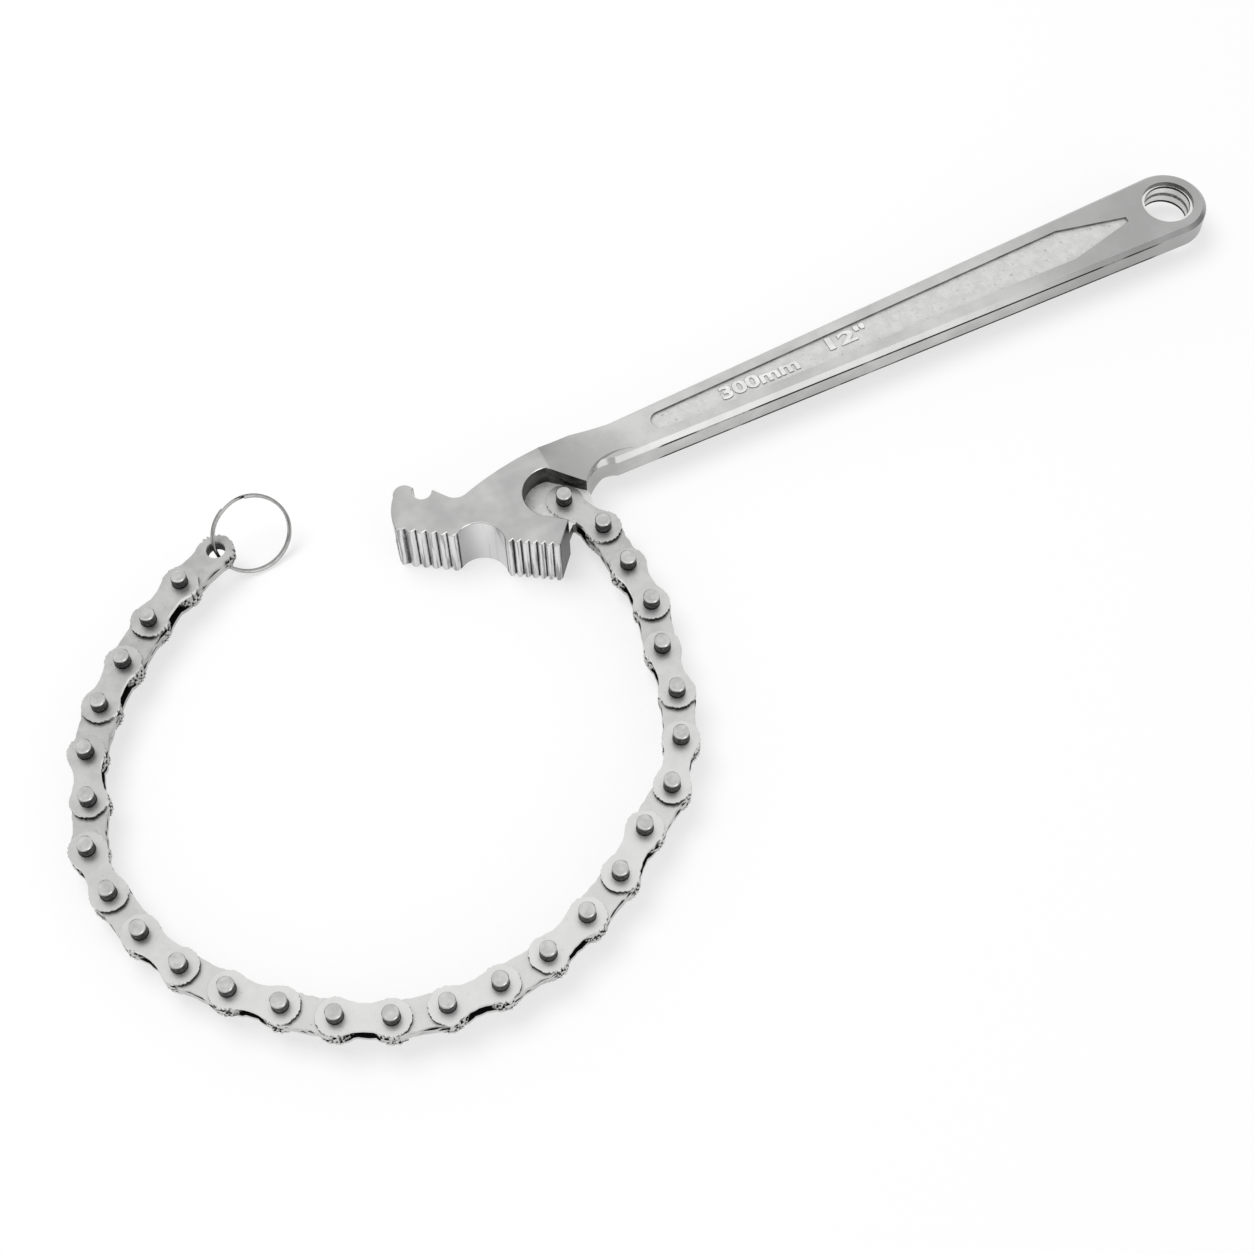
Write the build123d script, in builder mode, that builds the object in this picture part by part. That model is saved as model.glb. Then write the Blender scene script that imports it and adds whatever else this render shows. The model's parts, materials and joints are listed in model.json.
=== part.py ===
from build123d import *
from math import atan2, cos, degrees, hypot, radians, sin, tan
import os

# Chain oil filter wrench. The origin is the centre of the hanging hole, halfway through the
# thickness. The handle runs along -X to the head, +Z is up, and the wrench lies on its flat side.

# Chain
pitch = 15.875
pin_diameter = 5.08
pin_stand_out = 4.2
pin_chamfer = 0.45
plate_thickness = 1.5
plate_gap = 0.05
pack_plates = 3
plate_end_radius = 5.85
outer_waist = 4.2
inner_waist = 5.1
running_clearance = 0.06

# How the chain lies: heading of the first link, then the turn at each pin, in degrees
first_heading = -65
turns = [-22, -3, -15, 4, -12, -14, -20, 4, -10, -7, -13, -10, -11, -14]
turns += [-11, -5, -9, -13, -10, -11, -24, 4, -18, -11, -4, -8, -6]

# Split ring
ring_mean_radius = 12.5
ring_wire = 1.1
ring_coil_step = 1.03
ring_tilt = 56
ring_swing = -21
ring_play = 0.2
ring_lift = 0.75
ring_split = 0.4

# Head
head_thickness = 21
anchor_reach = 236.6
anchor_drop = 14.6
hook_span = 53
jaw_height = 8.3
jaw_slope = -33.5
left_teeth = 5
left_tooth_pitch = 3.3
right_teeth = 7
right_tooth_pitch = 2.5
tooth_depth = 1.1
tooth_land = 0.3
relief_width = 15
relief_depth = 4.8
notch_clearance = 0.46
slot_clearance = 0.3
slot_slope = 8
pocket_margin = 3.35
web_margin = 1.2
edge_chamfer = 0.25

# Neck and handle
blend_length = 31
handle_thickness = 10
handle_bevel = 1.5
neck_top = 5
neck_bottom = 9.6
neck_hollow_depth = 0.6
end_radius = 13.3
hole_diameter = 15.6
rim_width = 1
rim_depth = 1
panel_depth = 1
panel_gap = 7.5
panel_neck_width = 7
panel_neck_height = -1.7
panel_border = 6.6
panel_bend = 41
panel_tip = 16.5
panel_tip_width = 2

pin_radius = pin_diameter / 2
web_half = (pack_plates * plate_thickness + (pack_plates - 1) * plate_gap) / 2
stack_half = web_half + plate_gap + plate_thickness
pin_half = stack_half + pin_stand_out
head_half = head_thickness / 2
handle_half = handle_thickness / 2
anchor = Vector(-anchor_reach, -anchor_drop)
far_out = anchor_reach + 2 * hook_span


def polar(origin, distance, angle):
    """The point at a distance from the origin, in the direction of an angle in degrees."""
    return origin + Vector(distance * cos(radians(angle)), distance * sin(radians(angle)))


def from_anchor(x, y):
    return anchor + Vector(x, y)


def from_hook(x, y):
    return anchor + Vector(x - hook_span, y)


def tangent_point(outside, radius, side):
    """Where a line from an outside point touches the circle about the origin, above (1) or below (-1)."""
    distance = hypot(outside.X, outside.Y)
    bearing = degrees(atan2(outside.Y, outside.X))
    opening = degrees(atan2((distance**2 - radius**2) ** 0.5, radius))
    return polar(Vector(0, 0), radius, bearing - side * opening)


def point_at(start, end, x):
    """The point at x on the line from start to end."""
    share = (x - start.X) / (end.X - start.X)
    return start + (end - start) * share


def write(part, name):
    part.label = name
    export_step(part, f"parts/{name}.step")


# Head outline, seen from above


def jaw_point(along, depth):
    """A point of the jaw face, measured along it from the hook end and into the head."""
    return polar(polar(jaw_start, along, jaw_slope), depth, jaw_slope + 90)


def tooth_row(start, count, tooth_pitch):
    """Crests and roots of a row of teeth, from the first root to the last."""
    row = [jaw_point(start, tooth_depth)]
    for tooth in range(count):
        root = start + tooth * tooth_pitch
        crest = root + tooth_pitch / 2
        land = tooth_land * tooth_pitch
        row.append(jaw_point(crest - land / 2, 0))
        row.append(jaw_point(crest + land / 2, 0))
        row.append(jaw_point(root + tooth_pitch, tooth_depth))
    return row


jaw_start = from_hook(2, jaw_height)
left_pad = left_teeth * left_tooth_pitch
left_row = tooth_row(0, left_teeth, left_tooth_pitch)
right_row = tooth_row(left_pad + relief_width, right_teeth, right_tooth_pitch)
relief_apex = jaw_point(left_pad + relief_width / 2, tooth_depth + relief_depth)

hook_heel = from_hook(0, jaw_height + 1.6)
hook_back = from_hook(1.1, 16.6)
hook_crown = from_hook(4, 21.6)
hook_tip = from_hook(8.2, 24.4)
hook_lip = from_hook(10.6, 22.6)
notch_centre = from_hook(13, 19.5)
hump = from_hook(16.4, 18.3)
hump_foot = from_hook(19.6, 13.9)
valley = from_hook(22.1, 12.3)
slope_foot = from_hook(24.5, 12.3)
slope_middle = from_anchor(-14.5, 16.1)
shoulder = from_anchor(0, 17.9)

# Chain pocket, round the anchor pin

web_radius = pitch - plate_end_radius - web_margin
pocket_radius = plate_end_radius + pocket_margin
pocket_centre = from_anchor(-3.7, 0.8)
pocket_far = polar(pocket_centre, pocket_radius, 77)
pocket_left = polar(pocket_centre, pocket_radius, 180)
pocket_low = polar(pocket_centre, pocket_radius, 228)
pocket_tip = polar(anchor, plate_end_radius + 2.7, 6)
end_face_top = polar(anchor, plate_end_radius + 5.65, -108)

# Neck and handle

blend_start = anchor.X - 0.9
blend_end = blend_start + blend_length
neck_upper = Vector(shoulder.X + 11, neck_top)
neck_lower = Vector(pocket_tip.X + 13, -neck_bottom)
neck_hollow = Vector(pocket_tip.X + 5, neck_hollow_depth - neck_bottom)
rib_hollow = neck_hollow + Vector(0, handle_bevel / 3)
upper_touch = tangent_point(neck_upper, end_radius, 1)
lower_touch = tangent_point(neck_lower, end_radius, -1)
upper_join = point_at(neck_upper, upper_touch, blend_end)
lower_join = point_at(neck_lower, lower_touch, blend_end)
rib_upper = upper_join - Vector(0, handle_bevel)
rib_lower = lower_join + Vector(0, handle_bevel)


def head_outline():
    with BuildLine() as outline:
        Line(left_row[0], hook_heel)
        ThreePointArc(hook_heel, hook_back, hook_crown)
        ThreePointArc(hook_crown, hook_tip, hook_lip)
        Polyline(hook_lip, notch_centre, hump, hump_foot)
        ThreePointArc(hump_foot, valley, slope_foot)
        ThreePointArc(slope_foot, slope_middle, shoulder)
        Polyline(shoulder, neck_upper, rib_upper, rib_lower)
        ThreePointArc(rib_lower, rib_hollow, pocket_tip)
        Polyline(pocket_tip, end_face_top, *reversed(right_row))
        ThreePointArc(right_row[0], relief_apex, left_row[-1])
        Polyline(*reversed(left_row))
    return outline.line


def handle_outline():
    with BuildLine() as outline:
        Line(neck_upper, upper_touch)
        ThreePointArc(upper_touch, (end_radius, 0), lower_touch)
        Line(lower_touch, neck_lower)
        ThreePointArc(neck_lower, neck_hollow, pocket_tip)
        Line(pocket_tip, neck_upper)
    return outline.line


def side_outline():
    """The upper half of the thick head and the hollow blend to the handle, seen from the side."""
    rise = head_half - handle_half
    blend_middle = (blend_start + blend_length * 0.42, handle_half + rise * 0.36)
    with BuildLine() as outline:
        ThreePointArc((blend_start, head_half), blend_middle, (blend_end, handle_half))
        Polyline((blend_end, handle_half), (blend_end, 0), (-far_out, 0), (-far_out, head_half))
        Line((-far_out, head_half), (blend_start, head_half))
    return outline.line


def pocket_outline():
    below = from_anchor(0, -2 * web_radius)
    beside = from_anchor(2 * web_radius, -2 * web_radius)
    with BuildLine() as outline:
        ThreePointArc(pocket_far, pocket_left, pocket_low)
        Polyline(pocket_low, end_face_top, below, beside, pocket_tip, pocket_far)
    return outline.line


def slot_outline():
    """All that the chain plates sweep when a pin sits in the notch."""
    floor = polar(notch_centre, plate_end_radius + slot_clearance, slot_slope - 90)
    reach = hook_span / 2
    left = polar(floor, reach, slot_slope + 180)
    right = polar(floor, reach, slot_slope)
    with BuildLine() as outline:
        Polyline(
            left,
            right,
            polar(right, reach, slot_slope + 90),
            polar(left, reach, slot_slope + 90),
            left,
        )
    return outline.line


def panel_outline():
    """The sunk panel: a round end at the neck, a slow taper, and a point near the hanging hole."""
    radius = panel_neck_width / 2
    start = blend_end + panel_gap + radius
    middle = panel_neck_height
    half_width = end_radius - panel_border
    with BuildLine() as outline:
        ThreePointArc((start, middle + radius), (start - radius, middle), (start, middle - radius))
        Polyline(
            (start, middle - radius),
            (-panel_bend, -half_width),
            (-panel_tip, -panel_tip_width / 2),
            (-panel_tip, panel_tip_width / 2),
            (-panel_bend, half_width),
            (start, middle + radius),
        )
    return outline.line


with BuildPart() as head:
    with BuildSketch():
        make_face(head_outline())
        with Locations(notch_centre):
            Circle(pin_radius + notch_clearance, mode=Mode.SUBTRACT)
    extrude(amount=head_half, both=True)
    with BuildSketch(Plane.XZ):
        make_face(side_outline())
        mirror(about=Plane.XZ)
    extrude(amount=far_out, both=True, mode=Mode.INTERSECT)
    for side in (1, -1):
        with BuildSketch(Plane.XY.offset(side * web_half)):
            make_face(pocket_outline())
        extrude(amount=side * head_half, mode=Mode.SUBTRACT)
    with BuildSketch():
        make_face(slot_outline())
    extrude(amount=stack_half + slot_clearance, both=True, mode=Mode.SUBTRACT)
    with BuildSketch():
        with Locations(anchor):
            Circle(web_radius)
    extrude(amount=web_half, both=True)
    with BuildSketch():
        with Locations(anchor):
            Circle(pin_radius + running_clearance)
    extrude(amount=web_half, both=True, mode=Mode.SUBTRACT)
    flats = head.faces().filter_by(Axis.Z).filter_by(lambda face: abs(face.center().Z) > head_half - edge_chamfer)
    rims = flats.edges().filter_by(lambda edge: edge.center().X < blend_start)
    chamfer(rims, edge_chamfer)

with BuildPart() as wrench_body:
    with BuildSketch():
        make_face(handle_outline())
    extrude(amount=handle_half, both=True)
    chamfer(wrench_body.faces().filter_by(Axis.Z).edges(), handle_bevel)
    add(head.part)
    with BuildSketch():
        Circle(hole_diameter / 2)
    extrude(amount=handle_half, both=True, mode=Mode.SUBTRACT)
    for side in (1, -1):
        with BuildSketch(Plane.XY.offset(side * (handle_half - rim_depth))):
            Circle(hole_diameter / 2 + rim_width)
        extrude(amount=side * rim_depth, mode=Mode.SUBTRACT)
        with BuildSketch(Plane.XY.offset(side * (handle_half - panel_depth))):
            make_face(panel_outline())
        extrude(amount=side * panel_depth, mode=Mode.SUBTRACT)

# Chain lay: the heading of each link, and the pins that it runs between

headings = [first_heading]
for turn in turns:
    headings.append(headings[-1] + turn)

pins = [anchor]
for heading in headings:
    pins.append(polar(pins[-1], pitch, heading))


def link_plane(index, height):
    """The plane of a link: its origin on the first pin, X towards the second."""
    start = pins[index]
    along = polar(Vector(0, 0), 1, headings[index])
    return Plane((start.X, start.Y, height), x_dir=along, z_dir=(0, 0, 1))


def plate_outline(waist):
    """The figure of eight of a link plate: two round ends joined by hollow waists."""
    half = pitch / 2
    hollow = (half**2 + waist**2 - plate_end_radius**2) / (2 * (plate_end_radius - waist))
    share = plate_end_radius / (plate_end_radius + hollow)
    near = half * share
    far = pitch - near
    side = (waist + hollow) * share
    with BuildLine() as outline:
        ThreePointArc((near, side), (-plate_end_radius, 0), (near, -side))
        ThreePointArc((near, -side), (half, -waist), (far, -side))
        ThreePointArc((far, -side), (pitch + plate_end_radius, 0), (far, side))
        ThreePointArc((far, side), (half, waist), (near, side))
    return outline.line


def link_plates(index, bases, waist, first_hole, second_hole):
    """The plates of a link, one above each height in bases."""
    with BuildPart() as plates:
        for base in bases:
            with BuildSketch(link_plane(index, base)):
                make_face(plate_outline(waist))
                Circle(first_hole, mode=Mode.SUBTRACT)
                with Locations((pitch, 0)):
                    Circle(second_hole, mode=Mode.SUBTRACT)
            extrude(amount=plate_thickness)
    return plates.part


def link_pins(index):
    """The two pins of an outer link, standing out above and below its plates."""
    with BuildPart() as pair:
        with BuildSketch(link_plane(index, -pin_half)):
            with Locations((0, 0), (pitch, 0)):
                Circle(pin_radius)
        extrude(amount=2 * pin_half)
        chamfer(pair.faces().filter_by(Axis.Z).edges(), pin_chamfer)
    return pair.part


# The ring leans so that it clears the rim of its hole on the way through the plates

ring_lean = radians(ring_tilt)
ring_hole_radius = web_half / tan(ring_lean) + ring_wire / sin(ring_lean) + ring_play
ring_heading = headings[-1] + ring_swing
ring_out = polar(Vector(0, 0), 1, ring_heading)
ring_side = polar(Vector(0, 0), 1, ring_heading - 90)
ring_down = ring_side * cos(ring_lean) - Vector(0, 0, sin(ring_lean))
ring_shift = Vector(0, 0, ring_lift) - ring_side * ring_lift / tan(ring_lean)
ring_centre = pins[-1] + ring_out * ring_mean_radius + ring_shift
ring_axis = Axis(ring_centre, ring_out.cross(ring_down))

with BuildPart() as split_ring:
    with BuildSketch(Plane(ring_centre, x_dir=ring_out, z_dir=ring_down)):
        with Locations((ring_mean_radius, ring_coil_step / 2), (ring_mean_radius, -ring_coil_step / 2)):
            Circle(ring_wire / 2)
    revolve(axis=ring_axis)
    for coil in (1, -1):
        middle = ring_centre - ring_down * ring_mean_radius + ring_axis.direction * (coil * ring_wire)
        with BuildSketch(Plane(middle + ring_out * coil, x_dir=ring_axis.direction, z_dir=ring_out)):
            Rectangle(ring_wire, 2 * ring_wire)
        extrude(amount=ring_split / 2, both=True, mode=Mode.SUBTRACT)

os.makedirs("parts", exist_ok=True)
write(wrench_body.part, "wrench_body")
write(split_ring.part, "split_ring")

running_hole = pin_radius + running_clearance
pack_bases = [layer * (plate_thickness + plate_gap) - web_half for layer in range(pack_plates)]
for index in range(0, len(headings), 2):
    number = f"{index // 2 + 1:02d}"
    top_base = web_half + plate_gap
    end_hole = ring_hole_radius if index + 2 == len(headings) else running_hole
    write(link_plates(index, [top_base], outer_waist, pin_radius, pin_radius), f"outer_link_{number}_top_plate")
    write(link_plates(index, [-stack_half], outer_waist, pin_radius, pin_radius), f"outer_link_{number}_bottom_plate")
    write(link_pins(index), f"outer_link_{number}_pins")
    write(link_plates(index + 1, pack_bases, inner_waist, running_hole, end_hole), f"inner_link_{number}_plates")
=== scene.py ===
import json
from math import atan2, cos, pi, radians, sin

import bmesh
import bpy
from mathutils import Matrix, Vector, noise


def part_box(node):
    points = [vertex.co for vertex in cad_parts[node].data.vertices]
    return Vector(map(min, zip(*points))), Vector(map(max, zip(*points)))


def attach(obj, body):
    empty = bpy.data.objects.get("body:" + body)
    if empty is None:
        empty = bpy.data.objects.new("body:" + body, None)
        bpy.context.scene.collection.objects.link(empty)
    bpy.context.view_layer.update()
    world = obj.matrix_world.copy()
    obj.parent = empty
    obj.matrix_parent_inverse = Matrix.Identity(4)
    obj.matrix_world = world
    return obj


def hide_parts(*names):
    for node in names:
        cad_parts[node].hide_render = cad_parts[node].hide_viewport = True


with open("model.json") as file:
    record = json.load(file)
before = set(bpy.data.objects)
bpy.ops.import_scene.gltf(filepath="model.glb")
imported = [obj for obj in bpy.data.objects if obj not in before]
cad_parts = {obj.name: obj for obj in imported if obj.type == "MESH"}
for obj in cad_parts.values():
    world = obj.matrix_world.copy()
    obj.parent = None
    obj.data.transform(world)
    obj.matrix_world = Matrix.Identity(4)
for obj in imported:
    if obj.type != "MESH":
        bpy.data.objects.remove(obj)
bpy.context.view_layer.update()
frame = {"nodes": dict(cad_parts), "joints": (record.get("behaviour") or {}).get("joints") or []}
mm = 0.001
pins = [Vector(joint["pos_m"]) for joint in frame["joints"]]
pitch = (pins[1] - pins[0]).length

# Meshes: the angle below which faces shade as one, and the distances within which corners are one
smooth_below = radians(32)
crisp_weight = 80
same_corner = 0.002 * mm
same_pin_corner = 0.005 * mm
same_plate_corner = 0.01 * mm

# Plates of the chain
plate_thickness = 1.5 * mm
pack_plates = 3
end_radius = 5.85 * mm
outer_inset = 0.02 * mm
outer_waist = 4.05 * mm
inner_waist = 5.0 * mm
hole_play = 0.04 * mm
ring_hole_radius = 3.03 * mm
plate_corner = radians(60)
outer_edge_round = 0.24 * mm
inner_edge_round = 0.2 * mm
end_steps = 60
waist_steps = 8
hole_steps = 32

# Faces of the top plates that are rubbed bright and carry a painted highlight, by the upward part of
# their normals
rubbed_highlight_from = -0.5
rubbed_highlight_to = 0.97

# Notches in the sheared ends of the plates, and the painted shade in them, about the holes and on the
# ends
serration_depth = 0.6 * mm
top_serration = 0.32 * mm
serration_rate = 8.5
bite_level = 0.38
bite_contrast = 1.9
round_end = 0.99
pack_seed = 3
layer_seed = 1.7
unshaded_notch = 0.3
darkest_notch = 0.7
notch_shade = 1.6
hole_shade = 0.9
end_shade = 2.2
upper_end_shade = 0.8
pack_turn_in = 0.65
face_play = 0.02 * mm
# Painted light on the plates, paler far round the loop
loop_near = -5 * mm
loop_far = -150 * mm
outer_painted_light = 0.52
inner_painted_light = 0.44

# Outer plates: side, radius, depth of the notches, seed, rounding of the edges in so many steps, and how
# far outward a point of the rim has to face before it gets painted shade
outer_plates = (
    ("top", end_radius - outer_inset, top_serration, 4.1, outer_edge_round, 3, 0.25),
    ("bottom", end_radius, serration_depth, 2.3, inner_edge_round, 2, 0.5),
)

# Pins, with painted shade on their feet and sides
pin_radius = 2.54 * mm
pin_steps = 32
pin_bevel = 0.26 * mm
pin_corner = radians(30)
pin_rim_round = 0.07 * mm
pin_top_dish = 0.03 * mm
pin_centre_mark = 1.2 * mm
pin_mark_width = 0.2 * mm
pin_rim_from = 0.3
pin_rim_to = 0.95
unshaded_above_foot = 5.5 * mm
shaded_foot = 4.2 * mm
unshaded_pin_end = 7.9 * mm
shaded_pin_side = 7.4 * mm
pin_side_shade = 0.7

# Split ring
wire_radius = 0.55 * mm
wire_sides = 12
ring_radius = 12.5 * mm
coil_offset = 0.515 * mm
coil_steps = 84
crossing_steps = 12
ring_tilt = radians(56)
ring_swing = radians(-21)
ring_crossing = radians(36)
ring_seam = radians(114)
# Width of the painted shade in the seam between the coils
coil_seam = 0.15 * mm

# Wrench
bench = -10.5 * mm
body_corner = radians(24)
body_edge_round = 0.22 * mm
nearly_flat = radians(0.5)
panel_floor = 4 * mm
floor_play = 0.1 * mm
panel_start = -203 * mm
panel_lip = 0.7 * mm
handle_top = 5 * mm
head_top = 10.5 * mm
head_edge = 0.4 * mm
web_level = 2.5 * mm
hole_rim = 10 * mm
pocket_middle = pins[0].xy + Vector((-4, 1)) * mm
pocket_reach = 13.2 * mm
pocket_end = pins[0].x + 8.4 * mm
end_face_middle = pins[0].xy + Vector((-6.5, -14.4)) * mm
end_face_reach = 2.5 * mm
blend_start = pins[0].x - 1.6 * mm

# How level a face of the forging is, from 0 on a wall to 1 on a floor
wall_level = 0.3
steep_level = 0.6
rim_floor_level = 0.7
panel_bevel_level = 0.73
floor_level = 0.9
bevel_level = 0.95

# Size marks: words, left, right and middle
size_marks = (("300mm", -173.5 * mm, -145 * mm, -1.2 * mm), ('12"', -133 * mm, -118 * mm, 0.6 * mm))
letter_size = 6.8 * mm
letter_weight = 0.16 * mm
letter_rise = 0.6 * mm
letter_edge = 0.1 * mm
letter_wall = 0.6

# Finish of the jaw, on axes that run along its teeth and down into them, with painted shade in the
# roots of the teeth, upright streaks of painted reflection and painted shade across the relief. A band
# is given by where it starts, where it is full, how far it stays full and where it ends, and the painted
# shade of the relief by two places and its strength at each
jaw_corner = pins[0] + Vector((-51, 8.3, 0)) * mm
jaw_slope = radians(-33.5)
jaw_foot = 6.3 * mm
jaw_fade = 7 * mm
jaw_side = 9.9 * mm
jaw_top = 10.2 * mm
jaw_tone = 0.94
jaw_share = 0.9
jaw_roughness = 0.1
relief_band = (16 * mm, 17 * mm, 31 * mm, 32 * mm)
relief_calm = 0.85
relief_shade = (16.5 * mm, 24.5 * mm, 0.9, 0.0)
root_band = (0.55 * mm, 1.05 * mm, 1.3 * mm, 1.8 * mm)
root_shade = 0.7
reflection_streak_shape = (1, 0.3, 0.03)
reflection_streak_tone = 0.12
reflection_streak_share = 0.6

# Finish of the rest of the forging, with painted shade towards the end of the handle
flash_band = (2.6 * mm, 2.9 * mm, 3.45 * mm, 3.65 * mm)
flash_length = (panel_start, panel_start + 6 * mm, -hole_rim - 6 * mm, -hole_rim + 2 * mm)
head_clear = -212 * mm
head_clouded = -226 * mm
cloud_tone = 0.4
end_unshaded = -95 * mm
end_shaded = -15 * mm
end_shade_tone = 0.36
end_shade_share = 0.6

# Dark rings of painted reflection in the bore, by their distance from the middle plane: start, end
# and how dark
bore_reflection_rings = ((3.1 * mm, 3.9 * mm, 0.85), (-1 * mm, 0.7 * mm, 0.6))
bore_blur = 0.12 * mm

# Finishes: how metallic; light and dark tone; scale of the clouds; scale and cut of the pits; scale of
# the grain; smoothest and roughest patch; depth of the relief in millimetres
finishes = {
    "forged chrome": (1.0, 0.72, 0.55, 36, 620, 0.8, 1500, 0.16, 0.28, 0.02),
    "rough cast floor": (0.35, 0.82, 0.72, 260, 700, 0.68, 1300, 0.34, 0.5, 0.12),
    "blasted web": (0.0, 0.95, 0.8, 260, 700, 0.68, 1300, 0.34, 0.5, 0.12),
    # Walls darkened with painted shade
    "painted shade wall": (1.0, 0.32, 0.16, 220, 800, 0.7, 1800, 0.35, 0.5, 0.08),
    "turned bore": (1.0, 0.92, 0.78, 200, 900, 0.75, 2400, 0.14, 0.24, 0.02),
    # Walls darkened with painted shade
    "pocket wall painted shade": (1.0, 0.18, 0.05, 130, 900, 0.7, 1800, 0.22, 0.4, 0.08),
    # Edges worn bright, with a painted highlight on them
    "worn edge highlight": (1.0, 0.95, 0.8, 260, 900, 0.72, 2200, 0.1, 0.2, 0.03),
    "tumbled plate steel": (1.0, 0.68, 0.55, 150, 1100, 0.7, 2600, 0.3, 0.44, 0.05),
    "rubbed plate rim highlight": (1.0, 0.95, 0.82, 260, 900, 0.72, 2200, 0.12, 0.22, 0.03),
    "sheared plate steel": (1.0, 0.66, 0.52, 180, 900, 0.7, 2200, 0.32, 0.48, 0.08),
    "turned pin steel": (1.0, 0.7, 0.54, 300, 1400, 0.74, 3000, 0.3, 0.42, 0.05),
    "plated ring wire": (1.0, 0.6, 0.46, 260, 1500, 0.74, 3200, 0.08, 0.16, 0.02),
}
light_warmth = 0.99
dark_warmth = 0.985
pit_tone = 0.1
pit_share = 0.3
pit_edge = 0.05
pit_depth = 0.6
grain_height = 0.25
cloud_height = 0.75
grain_in_roughness = 0.4
# Darkening by a mask: painted shade and painted reflection, and the dark line of the flash
darkening_tone = 0.02
darkening_roughness = 0.6
speck_share = 0.5
# Tone of the painted light on the plates far round the loop
painted_light_tone = (0.97, 0.97, 0.96, 1)

# Light
room_light = 0.5
room_horizon = 0.22
room_top = 0.98
room_full = 0.95
bench_reach = 4
bench_tone = 0.45
bench_roughness = 0.9
bench_lift = 0.6
bench_in_steel = 0.7
subject = (-0.21, -0.07, 0)

# Lamps: name, place, width, watts, and whether the steel mirrors it
lamps = (("key", (-0.6, 0.45, 1.6), 1.1, 13, False), ("front", (0.1, -1.15, 0.55), 0.8, 1.1, True))

# Camera, from the perspective of the photograph
camera_place = Vector((-383.63, -367.94, 587.05)) * mm
camera_turn = radians(-25.417)
camera_tilt = radians(90 - 60.1)
camera_roll = radians(-1.45)
camera_lens = 63.16
camera_sensor = 36
camera_nearest = 0.01

# Nodes


def feed(tree, socket, value):
    """Links another node's output to a socket, or sets the socket to a plain value."""
    if isinstance(value, bpy.types.NodeSocket):
        tree.links.new(value, socket)
    else:
        socket.default_value = value


def add_node(tree, kind, inputs=None, **settings):
    """A node with its settings and its inputs."""
    made = tree.nodes.new(kind)
    for name, value in settings.items():
        setattr(made, name, value)
    for name, value in (inputs or {}).items():
        feed(tree, made.inputs[name], value)
    return made


def math_node(tree, operation, first, second=0.0, clamp=False):
    inputs = {0: first, 1: second}
    return add_node(tree, "ShaderNodeMath", inputs, operation=operation, use_clamp=clamp).outputs[0]


def multiply(tree, first, second):
    return math_node(tree, "MULTIPLY", first, second)


def add_share(tree, total, part, share):
    """The total with a share of a part on top."""
    return math_node(tree, "ADD", total, multiply(tree, part, share))


def noise_node(tree, vector, scale, detail, roughness=0.55):
    inputs = {"Vector": vector, "Scale": scale, "Detail": detail, "Roughness": roughness}
    return add_node(tree, "ShaderNodeTexNoise", inputs).outputs["Fac"]


def stretch_node(tree, vector, scale):
    """Coordinates on which a texture is drawn out along the axes of small scale."""
    return add_node(tree, "ShaderNodeMapping", {"Vector": vector, "Scale": scale}).outputs["Vector"]


def axes_node(tree, vector):
    return add_node(tree, "ShaderNodeSeparateXYZ", {"Vector": vector}).outputs


def level_node(tree, place):
    """How far a point is from the middle plane, above or below."""
    return math_node(tree, "ABSOLUTE", axes_node(tree, place)["Z"])


def ramp_node(tree, value, low, high, to_low=0.0, to_high=1.0):
    """The value eased from one range to another."""
    inputs = {"Value": value, "From Min": low, "From Max": high, "To Min": to_low, "To Max": to_high}
    made = add_node(tree, "ShaderNodeMapRange", inputs, interpolation_type="SMOOTHSTEP")
    return made.outputs["Result"]


def band_node(tree, value, low_end, low, high, high_end):
    """One from low to high, eased down to nothing at both ends."""
    return multiply(tree, ramp_node(tree, value, low_end, low), ramp_node(tree, value, high_end, high))


def mix_value(tree, share, first, second):
    return add_node(tree, "ShaderNodeMix", {0: share, 2: first, 3: second}, data_type="FLOAT").outputs[0]


def mix_colour(tree, share, first, second):
    return add_node(tree, "ShaderNodeMix", {0: share, 6: first, 7: second}, data_type="RGBA").outputs[2]


def grey(tone):
    return tone, tone, tone, 1


# Shader groups


def new_group(name, inputs, outputs):
    """An empty node group. Inputs are given as (name, kind, default), and outputs as (name, kind)."""
    group = bpy.data.node_groups.new(name, "ShaderNodeTree")
    for label, kind, default in inputs:
        socket = group.interface.new_socket(name=label, in_out="INPUT", socket_type=kind)
        if default is not None:
            socket.default_value = default
    for label, kind in outputs:
        group.interface.new_socket(name=label, in_out="OUTPUT", socket_type=kind)
    given = group.nodes.new("NodeGroupInput").outputs
    return group, given, group.nodes.new("NodeGroupOutput").inputs


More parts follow.
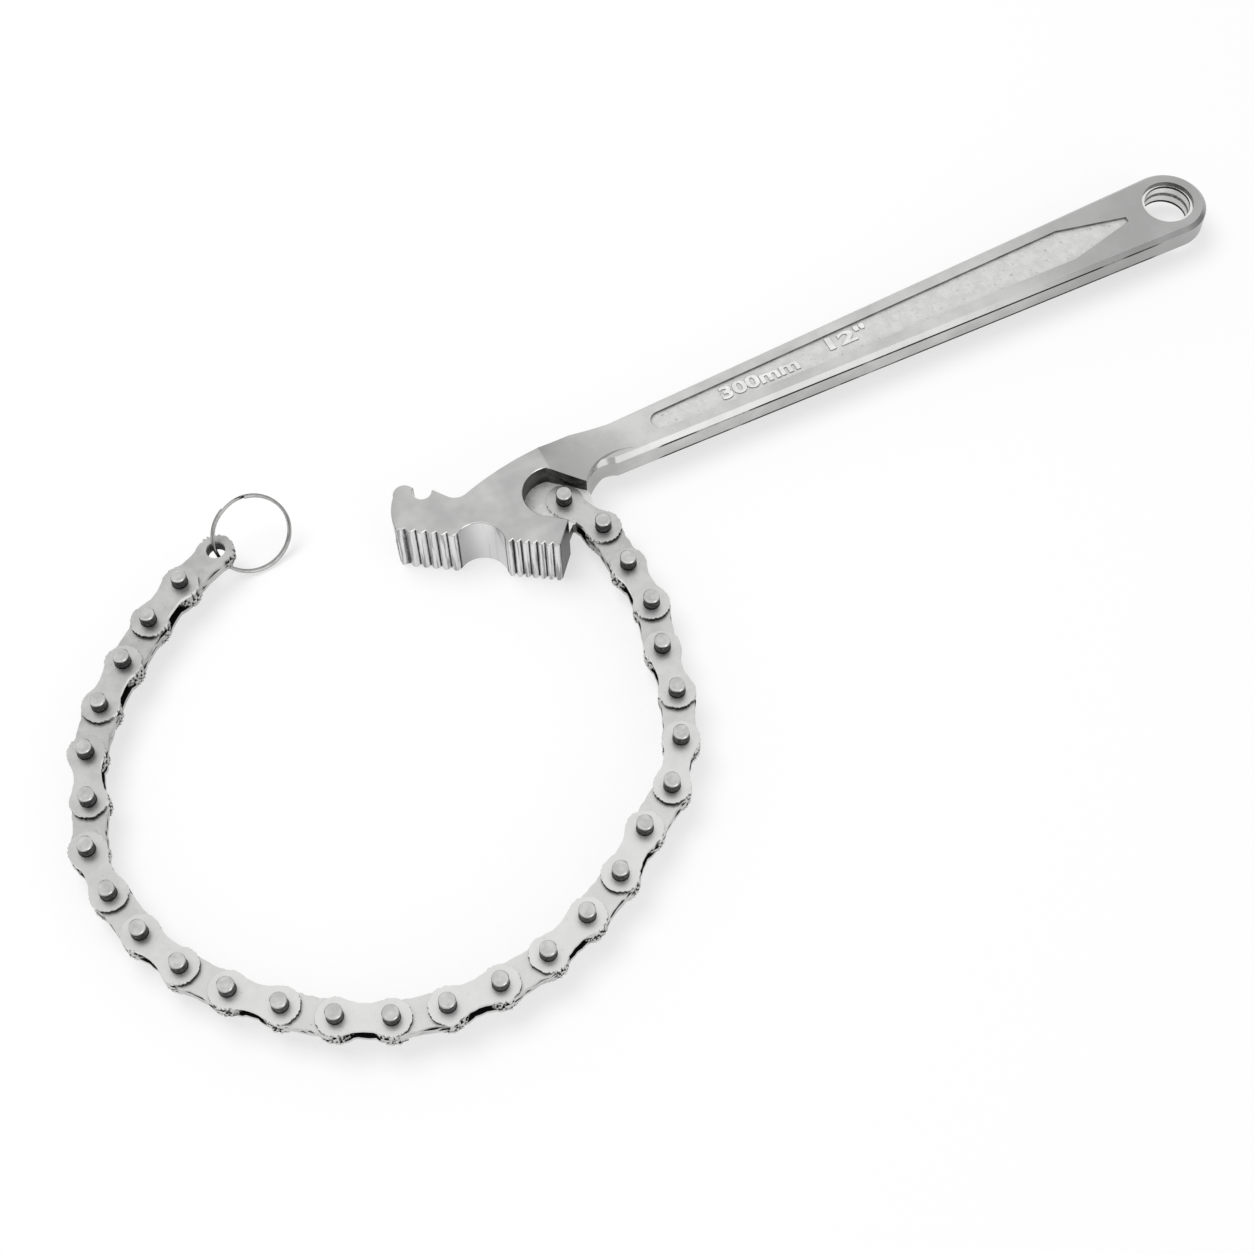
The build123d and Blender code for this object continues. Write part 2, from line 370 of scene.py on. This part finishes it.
def make_mottle_group():
    """Cloudy tone, small dark pits and a fine grain, as plated or tumbled steel has."""
    inputs = [
        ("Vector", "NodeSocketVector", None),
        ("Light Tone", "NodeSocketColor", grey(0.7)),
        ("Dark Tone", "NodeSocketColor", grey(0.5)),
        ("Cloud Scale", "NodeSocketFloat", 60.0),
        ("Pit Scale", "NodeSocketFloat", 500.0),
        ("Pit Cut", "NodeSocketFloat", 0.7),
        ("Grain Scale", "NodeSocketFloat", 1600.0),
        ("Smoothest", "NodeSocketFloat", 0.25),
        ("Roughest", "NodeSocketFloat", 0.4),
    ]
    outputs = [
        ("Tone", "NodeSocketColor"),
        ("Roughness", "NodeSocketFloat"),
        ("Height", "NodeSocketFloat"),
    ]
    group, given, result = new_group("mottled steel", inputs, outputs)
    vector, cut = given["Vector"], given["Pit Cut"]
    clouds = noise_node(group, vector, given["Cloud Scale"], detail=5.0, roughness=0.6)
    patches = ramp_node(group, clouds, low=0.35, high=0.65)
    grain = noise_node(group, vector, given["Grain Scale"], detail=3.0)
    pits = noise_node(group, vector, given["Pit Scale"], detail=2.0, roughness=0.5)
    pits = ramp_node(group, pits, cut, math_node(group, "ADD", cut, pit_edge))
    tone = mix_colour(group, patches, given["Dark Tone"], given["Light Tone"])
    tone = mix_colour(group, multiply(group, pits, pit_share), tone, grey(pit_tone))
    uneven = mix_value(group, grain_in_roughness, patches, grain)
    rough = mix_value(group, uneven, given["Smoothest"], given["Roughest"])
    height = add_share(group, multiply(group, grain, grain_height), clouds, cloud_height)
    group.links.new(tone, result["Tone"])
    group.links.new(rough, result["Roughness"])
    group.links.new(add_share(group, height, pits, -pit_depth), result["Height"])
    return group


def make_darkening_group():
    """Darkens and dulls the steel where a mask says, broken up at its edges: painted shade and painted
    reflection in most places, and the dark flash line on the handle.
    """
    inputs = [
        ("Vector", "NodeSocketVector", None),
        ("Tone", "NodeSocketColor", grey(0.7)),
        ("Roughness", "NodeSocketFloat", 0.3),
        ("Mask", "NodeSocketFloat", 0.0),
    ]
    outputs = [("Tone", "NodeSocketColor"), ("Roughness", "NodeSocketFloat")]
    group, given, result = new_group("painted shade and marks", inputs, outputs)
    specks = noise_node(group, given["Vector"], scale=1400, detail=3.0)
    darkening = ramp_node(group, add_share(group, given["Mask"], specks, speck_share), low=0.35, high=1.1)
    group.links.new(mix_colour(group, darkening, given["Tone"], grey(darkening_tone)), result["Tone"])
    group.links.new(mix_value(group, darkening, given["Roughness"], darkening_roughness), result["Roughness"])
    return group


mottled_steel = make_mottle_group()
shade_and_mark_group = make_darkening_group()


# Materials


def new_material(name):
    """A material, its tree, the object's own coordinates, and the mottle that its finish is given."""
    material = bpy.data.materials.new(name)
    material.use_nodes = True
    tree = material.node_tree
    metal, light, dark, clouds, pits, cut, grain, smoothest, roughest, _ = finishes[name]
    tree.nodes["Principled BSDF"].inputs["Metallic"].default_value = metal
    place = tree.nodes.new("ShaderNodeTexCoord").outputs["Object"]
    inputs = {
        "Vector": place,
        "Light Tone": (light, light, light * light_warmth, 1),
        "Dark Tone": (dark, dark, dark * dark_warmth, 1),
        "Cloud Scale": clouds,
        "Pit Scale": pits,
        "Pit Cut": cut,
        "Grain Scale": grain,
        "Smoothest": smoothest,
        "Roughest": roughest,
    }
    finish = add_node(tree, "ShaderNodeGroup", inputs, node_tree=mottled_steel).outputs
    return material, tree, place, finish


def darken(tree, place, tone, roughness, mask):
    """The tone and the roughness of a finish, darkened where the mask says with painted shade, and on
    the handle with the flash line.
    """
    inputs = {"Vector": place, "Tone": tone, "Roughness": roughness, "Mask": mask}
    made = add_node(tree, "ShaderNodeGroup", inputs, node_tree=shade_and_mark_group)
    return made.outputs["Tone"], made.outputs["Roughness"]


def show(material, tone, roughness, height):
    """Gives the shader its tone, its roughness and its relief."""
    tree = material.node_tree
    shader = tree.nodes["Principled BSDF"].inputs
    relief = {"Height": height, "Distance": finishes[material.name][-1] * mm, "Strength": 1.0}
    tree.links.new(tone, shader["Base Color"])
    tree.links.new(roughness, shader["Roughness"])
    tree.links.new(add_node(tree, "ShaderNodeBump", relief).outputs["Normal"], shader["Normal"])
    return material


def jaw_reflection_streaks(tree, place, level):
    """How far a point lies down in the teeth, where the roots get painted shade; upright streaks of
    painted reflection over the whole jaw, with painted shade across the relief; and the jaw itself.
    """
    from_corner = add_node(tree, "ShaderNodeVectorMath", {0: place, 1: jaw_corner}, operation="SUBTRACT")
    inputs = {"Vector": from_corner.outputs["Vector"], "Rotation": (0, 0, -jaw_slope)}
    turned = add_node(tree, "ShaderNodeMapping", inputs).outputs["Vector"]
    axes = axes_node(tree, turned)
    along, depth = axes["X"], axes["Y"]
    side = ramp_node(tree, level, jaw_top, jaw_side)
    jaw = multiply(tree, ramp_node(tree, depth, jaw_fade, jaw_foot), side)
    roots = multiply(tree, band_node(tree, depth, *root_band), side)
    relief = multiply(tree, band_node(tree, along, *relief_band), relief_calm)
    shade = multiply(tree, relief, ramp_node(tree, along, *relief_shade))
    drawn_out = stretch_node(tree, turned, reflection_streak_shape)
    reflection_streaks = noise_node(tree, drawn_out, scale=1100, detail=3.0, roughness=0.6)
    reflection_streaks = ramp_node(tree, reflection_streaks, low=0.51, high=0.6)
    reflection_streaks = multiply(tree, reflection_streaks, math_node(tree, "SUBTRACT", 1.0, relief))
    reflection_streaks = math_node(tree, "MAXIMUM", reflection_streaks, shade)
    return roots, multiply(tree, reflection_streaks, jaw), jaw


def flash_line(tree, place, level, along):
    """The dark line that the trimmed flash leaves along both sides of the handle, in broken runs."""
    line = multiply(tree, band_node(tree, level, *flash_band), band_node(tree, along, *flash_length))
    runs = noise_node(tree, place, scale=45, detail=3.0)
    runs = ramp_node(tree, runs, low=0.3, high=0.5, to_low=0.35, to_high=1.0)
    return multiply(tree, line, runs)


def make_forged_chrome():
    """Dull plating on a forging: cloudy and softly wavy, with painted reflection streaks and painted
    shade on the jaw, and painted shade towards the end of the handle.
    """
    material, tree, place, finish = new_material("forged chrome")
    level, along = level_node(tree, place), axes_node(tree, place)["X"]
    roots, reflection_streaks, jaw = jaw_reflection_streaks(tree, place, level)
    flash = flash_line(tree, place, level, along)
    # Painted shade in the roots of the teeth, and the real dark line of the flash
    dark = math_node(tree, "MAXIMUM", multiply(tree, roots, root_shade), flash)
    clouds = noise_node(tree, place, scale=24, detail=4.0, roughness=0.6)
    clouds = ramp_node(tree, clouds, low=0.38, high=0.62, to_low=0.15, to_high=0.75)
    clouds = multiply(tree, ramp_node(tree, along, head_clear, head_clouded), clouds)
    # Painted shade towards the end of the handle
    end = ramp_node(tree, along, end_unshaded, end_shaded, to_high=end_shade_share)
    tone = mix_colour(tree, clouds, finish["Tone"], grey(cloud_tone))
    tone = mix_colour(tree, multiply(tree, jaw, jaw_share), tone, grey(jaw_tone))
    # Upright streaks of painted reflection on the jaw
    tone = mix_colour(tree, multiply(tree, reflection_streaks, reflection_streak_share), tone, grey(reflection_streak_tone))
    tone = mix_colour(tree, end, tone, grey(end_shade_tone))
    rough = mix_value(tree, jaw, finish["Roughness"], jaw_roughness)
    height = add_share(tree, finish["Height"], noise_node(tree, place, scale=28, detail=2.0), share=5.0)
    height = add_share(tree, height, reflection_streaks, share=2.0)
    return show(material, *darken(tree, place, tone, rough, dark), height)


def make_cast_floor(name, lump_scale):
    """A sunk floor of the forging, pale and rough under the plating."""
    material, tree, place, finish = new_material(name)
    lumps = noise_node(tree, place, lump_scale, detail=4.0, roughness=0.65)
    dents = noise_node(tree, place, lump_scale / 3, detail=2.0)
    height = add_share(tree, finish["Height"], lumps, share=2.0)
    height = add_share(tree, height, dents, share=2.5)
    return show(material, finish["Tone"], finish["Roughness"], height)


def make_shaded_pocket_wall():
    """The walls of the chain pocket: milled upright, and nearly black in places with painted shade."""
    material, tree, place, finish = new_material("pocket wall painted shade")
    marks = noise_node(tree, stretch_node(tree, place, (1, 1, 0.05)), scale=1100, detail=2.0)
    height = math_node(tree, "ADD", finish["Height"], marks)
    return show(material, finish["Tone"], finish["Roughness"], height)


def make_turned_bore():
    """The wall of the hanging hole, turned bright, with darker rings of painted reflection that run
    round it.
    """
    material, tree, place, finish = new_material("turned bore")
    level = level_node(tree, place)
    dark = 0.0
    for low, high, most in bore_reflection_rings:
        ring = band_node(tree, level, low - bore_blur, low, high, high + bore_blur)
        dark = math_node(tree, "MAXIMUM", multiply(tree, ring, most), dark)
    tone, rough = darken(tree, place, finish["Tone"], finish["Roughness"], dark)
    return show(material, tone, rough, finish["Height"])


def make_turned_pin():
    """Pins turned on a lathe, with painted shade on their feet and sides, and their ends left light."""
    material, tree, place, finish = new_material("turned pin steel")
    level = level_node(tree, place)
    # Painted shade on the foot of each pin and on its sides below the end
    foot = ramp_node(tree, level, unshaded_above_foot, shaded_foot)
    side = multiply(tree, ramp_node(tree, level, unshaded_pin_end, shaded_pin_side), pin_side_shade)
    dark = math_node(tree, "MAXIMUM", foot, side)
    turning = noise_node(tree, stretch_node(tree, place, (0.25, 0.25, 3.0)), scale=900, detail=2.0)
    height = add_share(tree, finish["Height"], turning, share=0.6)
    return show(material, *darken(tree, place, finish["Tone"], finish["Roughness"], dark), height)


def make_clean_steel(name):
    """Steel that shows its mottle alone: light for edges worn bright with a painted highlight, and dark
    for walls with painted shade.
    """
    material, tree, place, finish = new_material(name)
    return show(material, finish["Tone"], finish["Roughness"], finish["Height"])


def make_shaded_steel(name, painted_light_share=0.0):
    """Steel with the painted shade that its own corners carry. The plates get painted light, paler far
    round the loop.
    """
    material, tree, place, finish = new_material(name)
    tone = finish["Tone"]
    if painted_light_share:
        # Painted light, paler far round the loop
        far = ramp_node(tree, axes_node(tree, place)["Y"], loop_near, loop_far, to_high=painted_light_share)
        tone = mix_colour(tree, far, tone, painted_light_tone)
    # The attribute holds painted shade, worked out for each corner of the piece
    painted_shade = add_node(tree, "ShaderNodeAttribute", attribute_name="painted_shade").outputs["Fac"]
    return show(material, *darken(tree, place, tone, finish["Roughness"], painted_shade), finish["Height"])


forged_chrome = make_forged_chrome()
cast_floor = make_cast_floor("rough cast floor", lump_scale=650)
blasted_web = make_cast_floor("blasted web", lump_scale=900)
# Walls darkened with painted shade
painted_shade_wall = make_clean_steel("painted shade wall")
turned_bore = make_turned_bore()
shaded_pocket_wall = make_shaded_pocket_wall()
# Edges worn bright, with a painted highlight on them
worn_edge_highlight = make_clean_steel("worn edge highlight")
tumbled_plate = make_shaded_steel("tumbled plate steel", outer_painted_light)
rubbed_rim_highlight = make_shaded_steel("rubbed plate rim highlight")
sheared_plate = make_shaded_steel("sheared plate steel", inner_painted_light)
turned_pin = make_turned_pin()
ring_wire = make_shaded_steel("plated ring wire")
body_finishes = [forged_chrome, cast_floor, painted_shade_wall, shaded_pocket_wall, worn_edge_highlight, blasted_web, turned_bore]


# Shapes


def make_piece(shape, name, materials, slot, body, *nodes):
    """Turns a bmesh into a piece that rides on a body and stands for the nodes."""
    mesh = bpy.data.meshes.new(name)
    shape.to_mesh(mesh)
    shape.free()
    for face in mesh.polygons:
        face.use_smooth = True
    mesh.set_sharp_from_angle(angle=smooth_below)
    for material in materials:
        mesh.materials.append(material)
    piece = bpy.data.objects.new(name, mesh)
    bpy.context.scene.collection.objects.link(piece)
    crisp = piece.modifiers.new("crisp faces", "WEIGHTED_NORMAL")
    crisp.keep_sharp = True
    crisp.weight = crisp_weight
    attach(piece, body)
    if nodes:
        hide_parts(*nodes)
    return piece


def round_corners(shape, angle, width, segments):
    """Rounds the edges that turn by more than the angle."""
    edges = [edge for edge in shape.edges if edge.is_manifold and edge.calc_face_angle() > angle]
    bmesh.ops.bevel(
        shape,
        geom=edges,
        offset=width,
        offset_type="OFFSET",
        segments=segments,
        profile=0.5,
        affect="EDGES",
        clamp_overlap=True,
        material=-1,
    )


def spin(shape, geometry, kind, centre, angle, steps, rise=0.0):
    """Sweeps geometry about an upright axis, and returns what of the kind stands at the end."""
    swept = bmesh.ops.spin(
        shape,
        geom=geometry,
        cent=centre,
        axis=(0, 0, 1),
        dvec=(0, 0, rise / steps),
        angle=angle,
        steps=steps,
    )
    return [item for item in swept["geom_last"] if isinstance(item, kind)]


def draw_plate(shape, radius, waist, height):
    """The loop of a figure-of-eight plate, its first pin at the origin and its second on +X."""
    half = pitch / 2
    hollow = (half**2 + waist**2 - radius**2) / (2 * (radius - waist))
    lean = atan2(waist + hollow, half)
    around, across = 2 * pi - 2 * lean, pi - 2 * lean
    end = [shape.verts.new((radius * cos(lean), radius * sin(lean), height))]
    for centre, angle, steps in (
        ((0, 0, height), around, end_steps),
        ((half, -waist - hollow, height), -across, waist_steps),
        ((pitch, 0, height), around, end_steps),
        ((half, waist + hollow, height), -across, waist_steps),
    ):
        end = spin(shape, end, bmesh.types.BMVert, centre, angle, steps)
    bmesh.ops.remove_doubles(shape, verts=shape.verts, dist=same_plate_corner)


def serrate(shape, radius, seed, depth):
    """Sheared notches in the round ends, which run through the whole thickness of the plate."""
    for corner in shape.verts:
        centre = Vector((0 if corner.co.x < pitch / 2 else pitch, 0, corner.co.z))
        away = corner.co - centre
        if away.length < radius * round_end:
            continue
        bearing = atan2(away.y, away.x)
        rough = noise.noise(Vector((bearing * serration_rate, seed, centre.x / pitch)))
        corner.co -= away.normalized() * depth * max(0, min(1, bite_level + bite_contrast * rough))


def plate_solid(radius, waist, first_hole, second_hole, base, seed, depth):
    """A plate with its two pin holes, stamped from flat strip, its round ends torn by the shears."""
    shape = bmesh.new()
    draw_plate(shape, radius, waist, base)
    serrate(shape, radius, seed, depth)
    for hole, x in ((first_hole, 0), (second_hole, pitch)):
        place = Matrix.Translation((x, 0, base))
        bmesh.ops.create_circle(shape, segments=hole_steps, radius=hole, matrix=place)
    bmesh.ops.triangle_fill(
        shape, use_beauty=True, use_dissolve=False, edges=shape.edges, normal=(0, 0, 1)
    )
    raised = bmesh.ops.extrude_face_region(shape, geom=shape.faces[:])
    corners = [item for item in raised["geom"] if isinstance(item, bmesh.types.BMVert)]
    bmesh.ops.translate(shape, verts=corners, vec=(0, 0, plate_thickness))
    bmesh.ops.recalc_face_normals(shape, faces=shape.faces)
    return shape


def paint_plate_shade(shape, radius, base, open_below, open_above, turn_in, depth):
    """Painted shade in the notches, on the outward ends, about the holes and on the faces inside the
    chain.
    """
    painted_shade = shape.verts.layers.float.new("painted_shade")
    for corner in shape.verts:
        side = 0 if corner.co.x < pitch / 2 else 1
        away = Vector((corner.co.x - side * pitch, corner.co.y))
        height = corner.co.z - base
        below, above = height < face_play, height > plate_thickness - face_play
        if (below and open_below) or (above and open_above):
            continue
        if below or above:
            corner[painted_shade] = 1
            continue
        outward = away.x * (2 * side - 1) / away.length - turn_in
        in_notch = notch_shade * ((radius - away.length) / depth - unshaded_notch)
        if away.length < radius / 2:
            darkening = hole_shade
        elif open_above and height > plate_thickness / 2:
            darkening = max(min(darkest_notch / 2, in_notch), outward * upper_end_shade)
        else:
            darkening = max(min(darkest_notch, in_notch), outward * end_shade)
        corner[painted_shade] = max(0, min(1, darkening))


def join(shape, other):
    """Adds a second bmesh to the first."""
    mesh = bpy.data.meshes.new("joined")
    other.to_mesh(mesh)
    other.free()
    shape.from_mesh(mesh)
    bpy.data.meshes.remove(mesh)


def link_place(index):
    """Where link number index lies: its first pin and its heading."""
    along = pins[index + 1] - pins[index]
    return Matrix.Translation(pins[index]) @ Matrix.Rotation(atan2(along.y, along.x), 4, "Z")


def pin_solid(low, high):
    """A turned pin: a spun profile with rolled rims and lightly dished ends."""
    shape = bmesh.new()
    half = [
        (0, pin_top_dish),
        (pin_centre_mark - pin_mark_width, pin_top_dish),
        (pin_centre_mark, 2 * pin_top_dish),
        (pin_centre_mark + pin_mark_width, 0),
        (pin_radius - pin_bevel, 0),
        (pin_radius, pin_bevel),
    ]
    profile = [(x, low + inward) for x, inward in half]
    profile += [(x, high - inward) for x, inward in reversed(half)]
    corners = [shape.verts.new((x, 0, z)) for x, z in profile]
    edges = [shape.edges.new(pair) for pair in zip(corners, corners[1:])]
    bmesh.ops.spin(
        shape,
        geom=corners + edges,
        cent=(0, 0, 0),
        axis=(0, 0, 1),
        dvec=(0, 0, 0),
        angle=2 * pi,
        steps=pin_steps,
        use_merge=True,
    )
    bmesh.ops.remove_doubles(shape, verts=shape.verts, dist=same_pin_corner)
    bmesh.ops.recalc_face_normals(shape, faces=shape.faces)
    round_corners(shape, pin_corner, pin_rim_round, 2)
    return shape


def make_outer_link(number):
    """One outer link: a plate above, a plate below and the two pins that join them."""
    body = f"outer_link_{number:02d}"
    place = link_place(2 * number - 2)
    hole = pin_radius + hole_play
    for side, radius, depth, seed, edge_round, steps, turn_in in outer_plates:
        node = f"{body}_{side}_plate"
        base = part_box(node)[0][2]
        shape = plate_solid(radius, outer_waist, hole, hole, base, number * seed, depth)
        round_corners(shape, plate_corner, edge_round, steps)
        paint_plate_shade(shape, radius, base, side == "bottom", side == "top", turn_in, depth)
        bmesh.ops.transform(shape, matrix=place, verts=shape.verts)
        # Rims of the top plates are rubbed bright, with a painted highlight
        for face in shape.faces:
            face.material_index = int(side == "top" and rubbed_highlight_from < face.normal.z < rubbed_highlight_to)
        make_piece(shape, f"{node}_stamped", [tumbled_plate, rubbed_rim_highlight], "chain_plate", body, node)
    node = f"{body}_pins"
    low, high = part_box(node)
    shape = pin_solid(low[2], high[2])
    second = pin_solid(low[2], high[2])
    bmesh.ops.translate(second, verts=second.verts, vec=(pitch, 0, 0))
    join(shape, second)
    bmesh.ops.transform(shape, matrix=place, verts=shape.verts)
    # Rims of the pins are worn bright, with a painted highlight
    for face in shape.faces:
        face.material_index = int(pin_rim_from < abs(face.normal.z) < pin_rim_to)
    make_piece(shape, f"{node}_turned", [turned_pin, worn_edge_highlight], "chain_pin", body, node)


def make_inner_link(number, last):
    """One inner link: a pack of sheared plates."""
    body = f"inner_link_{number:02d}"
    node = f"{body}_plates"
    low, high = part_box(node)
    gap = (high[2] - low[2] - pack_plates * plate_thickness) / (pack_plates - 1)
    hole = pin_radius + hole_play
    far_hole = ring_hole_radius if number == last else hole
    pack = bmesh.new()
    for layer in range(pack_plates):
        base = low[2] + layer * (plate_thickness + gap)
        seed = number * pack_seed + layer * layer_seed
        shape = plate_solid(end_radius, inner_waist, hole, far_hole, base, seed, serration_depth)
        round_corners(shape, plate_corner, inner_edge_round, 2)
        lowest, highest = layer == 0, layer == pack_plates - 1
        paint_plate_shade(shape, end_radius, base, lowest, highest, pack_turn_in, serration_depth)
        join(pack, shape)
    bmesh.ops.transform(pack, matrix=link_place(2 * number - 1), verts=pack.verts)
    make_piece(pack, f"{node}_sheared", [sheared_plate], "chain_plate", body, node)


def make_split_ring():
    """Two coils of wire side by side, with one crossing from the first coil to the second."""
    low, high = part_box("split_ring")
    along = pins[-1] - pins[-2]
    turn = Matrix.Rotation(atan2(along.y, along.x) + ring_swing, 4, "Z")
    middle = Matrix.Translation((Vector(low) + Vector(high)) / 2)
    place = middle @ turn @ Matrix.Rotation(ring_tilt, 4, "X")
    shape = bmesh.new()
    bmesh.ops.create_circle(shape, cap_ends=True, segments=wire_sides, radius=wire_radius)
    stand = Matrix.Translation((ring_radius, 0, -coil_offset)) @ Matrix.Rotation(pi / 2, 4, "X")
    bmesh.ops.transform(shape, matrix=stand, verts=shape.verts)
    seam = Matrix.Rotation(ring_seam, 3, "Z")
    bmesh.ops.rotate(shape, cent=(0, 0, 0), matrix=seam, verts=shape.verts)
    face = shape.faces[:]
    coil = (2 * pi - ring_crossing, coil_steps, 0)
    for angle, steps, rise in (coil, (ring_crossing, crossing_steps, 2 * coil_offset), coil):
        face = spin(shape, face, bmesh.types.BMFace, (0, 0, 0), angle, steps, rise)
    bmesh.ops.recalc_face_normals(shape, faces=shape.faces)
    # Painted shade in the seam between the two coils
    painted_shade = shape.verts.layers.float.new("painted_shade")
    for corner in shape.verts:
        corner[painted_shade] = 1 if abs(corner.co.z) < coil_seam else 0
    bmesh.ops.transform(shape, matrix=place, verts=shape.verts)
    make_piece(shape, "split_ring_coiled", [ring_wire], "ring_wire", "split_ring", "split_ring")


def body_finish(face):
    """The finish of a face of the forging, from where it is and how level it is."""
    middle = face.calc_center_median()
    height, level = abs(middle.z), abs(face.normal.z)
    on_floor = height < panel_floor + floor_play
    if middle.xy.length < hole_rim:
        # The rim of the hanging hole is worn bright, with a painted highlight
        if level > rim_floor_level and on_floor:
            return worn_edge_highlight
        if level > steep_level:
            return forged_chrome
        # The upper wall of the hanging hole gets painted shade
        return shaded_pocket_wall if height > panel_floor else turned_bore
    if level > floor_level and height < web_level:
        return blasted_web
    if level > floor_level and on_floor:
        return cast_floor
    in_pocket = (middle.xy - pocket_middle).length < pocket_reach and middle.x < pocket_end
    on_end_face = (middle.xy - end_face_middle).length < end_face_reach
    head_bevel = height > head_top - head_edge and middle.x < blend_start
    # Walls of the pocket get painted shade
    if level < wall_level and in_pocket:
        return shaded_pocket_wall
    # Bevels of the head are worn bright, with a painted highlight
    if wall_level < level < bevel_level and head_bevel:
        return worn_edge_highlight
    # The end face beside the chain gets painted shade
    if level < wall_level and on_end_face:
        return shaded_pocket_wall
    # Bevels of the panel are worn bright, with a painted highlight
    if panel_bevel_level < level < bevel_level and panel_floor + panel_lip < height < handle_top:
        return worn_edge_highlight
    # Walls of the panel get painted shade
    if level < steep_level and panel_floor < height < handle_top and middle.x > panel_start:
        return painted_shade_wall
    return forged_chrome


def make_wrench():
    """The forging, with its edges worn round."""
    shape = bmesh.new()
    shape.from_mesh(frame["nodes"]["wrench_body"].data)
    bmesh.ops.remove_doubles(shape, verts=shape.verts, dist=same_corner)
    bmesh.ops.dissolve_limit(shape, angle_limit=nearly_flat, verts=shape.verts, edges=shape.edges)
    round_corners(shape, body_corner, body_edge_round, 2)
    for face in shape.faces:
        face.material_index = body_finishes.index(body_finish(face))
    make_piece(shape, "wrench_body_forged", body_finishes, "forged_steel", "wrench", "wrench_body")


def make_size_mark(words, left, right, middle):
    """A raised size mark on the floor of the panel, between two places along the handle."""
    curve = bpy.data.curves.new(words, "FONT")
    curve.body = words
    curve.extrude = letter_rise / 2
    curve.bevel_depth = letter_edge
    curve.bevel_resolution = 2
    curve.resolution_u = 4
    curve.size = letter_size
    curve.offset = letter_weight
    holder = bpy.data.objects.new("size mark", curve)
    bpy.context.scene.collection.objects.link(holder)
    bpy.context.view_layer.update()
    mesh = bpy.data.meshes.new_from_object(holder)
    bpy.data.objects.remove(holder)
    shape = bmesh.new()
    shape.from_mesh(mesh)
    bmesh.ops.remove_doubles(shape, verts=shape.verts, dist=same_corner)
    xs = [corner.co.x for corner in shape.verts]
    ys = [corner.co.y for corner in shape.verts]
    stretch = (right - left) / (max(xs) - min(xs))
    centre = Vector(((max(xs) + min(xs)) / 2, (max(ys) + min(ys)) / 2, 0))
    bmesh.ops.translate(shape, verts=shape.verts, vec=-centre)
    bmesh.ops.scale(shape, vec=(stretch, 1, 1), verts=shape.verts)
    bmesh.ops.translate(shape, verts=shape.verts, vec=((left + right) / 2, middle, panel_floor))
    name = "size_mark_" + "".join(letter for letter in words if letter.isalnum())
    for face in shape.faces:
        # Letter tops are worn bright with a painted highlight, and the letter walls get painted shade
        face.material_index = int(abs(face.normal.z) < letter_wall)
    make_piece(shape, name, [worn_edge_highlight, painted_shade_wall], "forged_steel", "wrench")


# The room


def make_floor():
    """A white bench that keeps the shadows, and shows as white where nothing shades it."""
    shape = bmesh.new()
    place = Matrix.Translation((0, 0, bench))
    bmesh.ops.create_grid(shape, x_segments=1, y_segments=1, size=bench_reach, matrix=place)
    mesh = bpy.data.meshes.new("floor")
    shape.to_mesh(mesh)
    shape.free()
    material = bpy.data.materials.new("white bench")
    material.use_nodes = True
    tree = material.node_tree
    shader = tree.nodes["Principled BSDF"].inputs
    shader["Base Color"].default_value = grey(bench_tone)
    shader["Roughness"].default_value = bench_roughness
    shader["Specular IOR Level"].default_value = 0.0
    shader["Emission Color"].default_value = grey(1)
    rays = tree.nodes.new("ShaderNodeLightPath").outputs
    seen = math_node(tree, "ADD", rays["Is Camera Ray"], rays["Is Transmission Ray"])
    mirrored = multiply(tree, rays["Is Glossy Ray"], bench_in_steel)
    seen = math_node(tree, "ADD", seen, mirrored, clamp=True)
    tree.links.new(multiply(tree, seen, bench_lift), shader["Emission Strength"])
    mesh.materials.append(material)
    floor = bpy.data.objects.new("floor", mesh)
    bpy.context.scene.collection.objects.link(floor)


def make_world():
    """White past the bench; in reflections, a room that darkens towards the horizon."""
    world = bpy.data.worlds.new("studio")
    bpy.context.scene.world = world
    world.use_nodes = True
    tree = world.node_tree
    background = tree.nodes["Background"].inputs
    background["Color"].default_value = grey(1)
    height = axes_node(tree, tree.nodes.new("ShaderNodeTexCoord").outputs["Generated"])["Z"]
    room = ramp_node(tree, height, 0.0, room_full, room_horizon, room_top)
    rays = tree.nodes.new("ShaderNodeLightPath").outputs
    seen = math_node(tree, "ADD", rays["Is Camera Ray"], rays["Is Transmission Ray"], clamp=True)
    strength = mix_value(tree, rays["Is Glossy Ray"], room_light, room)
    tree.links.new(mix_value(tree, seen, strength, 1.0), background["Strength"])


def add_lamp(name, place, size, watts, in_steel):
    lamp = bpy.data.lights.new(name, "AREA")
    lamp.shape = "DISK"
    lamp.size = size
    lamp.energy = watts
    holder = bpy.data.objects.new(name, lamp)
    holder.location = place
    holder.rotation_euler = (Vector(subject) - Vector(place)).to_track_quat("-Z", "Y").to_euler()
    holder.visible_glossy = in_steel
    bpy.context.scene.collection.objects.link(holder)


def make_camera():
    lens = bpy.data.cameras.new("photograph")
    lens.lens = camera_lens
    lens.sensor_width = camera_sensor
    lens.clip_start = camera_nearest
    camera = bpy.data.objects.new("photograph", lens)
    turn = Matrix.Rotation(camera_turn, 4, "Z") @ Matrix.Rotation(camera_tilt, 4, "X")
    camera.matrix_world = Matrix.Translation(camera_place) @ turn @ Matrix.Rotation(camera_roll, 4, "Z")
    bpy.context.scene.collection.objects.link(camera)
    bpy.context.scene.camera = camera


make_camera()
make_wrench()
for mark in size_marks:
    make_size_mark(*mark)
links = (len(pins) - 1) // 2
for number in range(1, links + 1):
    make_outer_link(number)
    make_inner_link(number, links)
make_split_ring()
make_floor()
make_world()
for lamp in lamps:
    add_lamp(*lamp)
bpy.context.scene.view_settings.view_transform = "Standard"
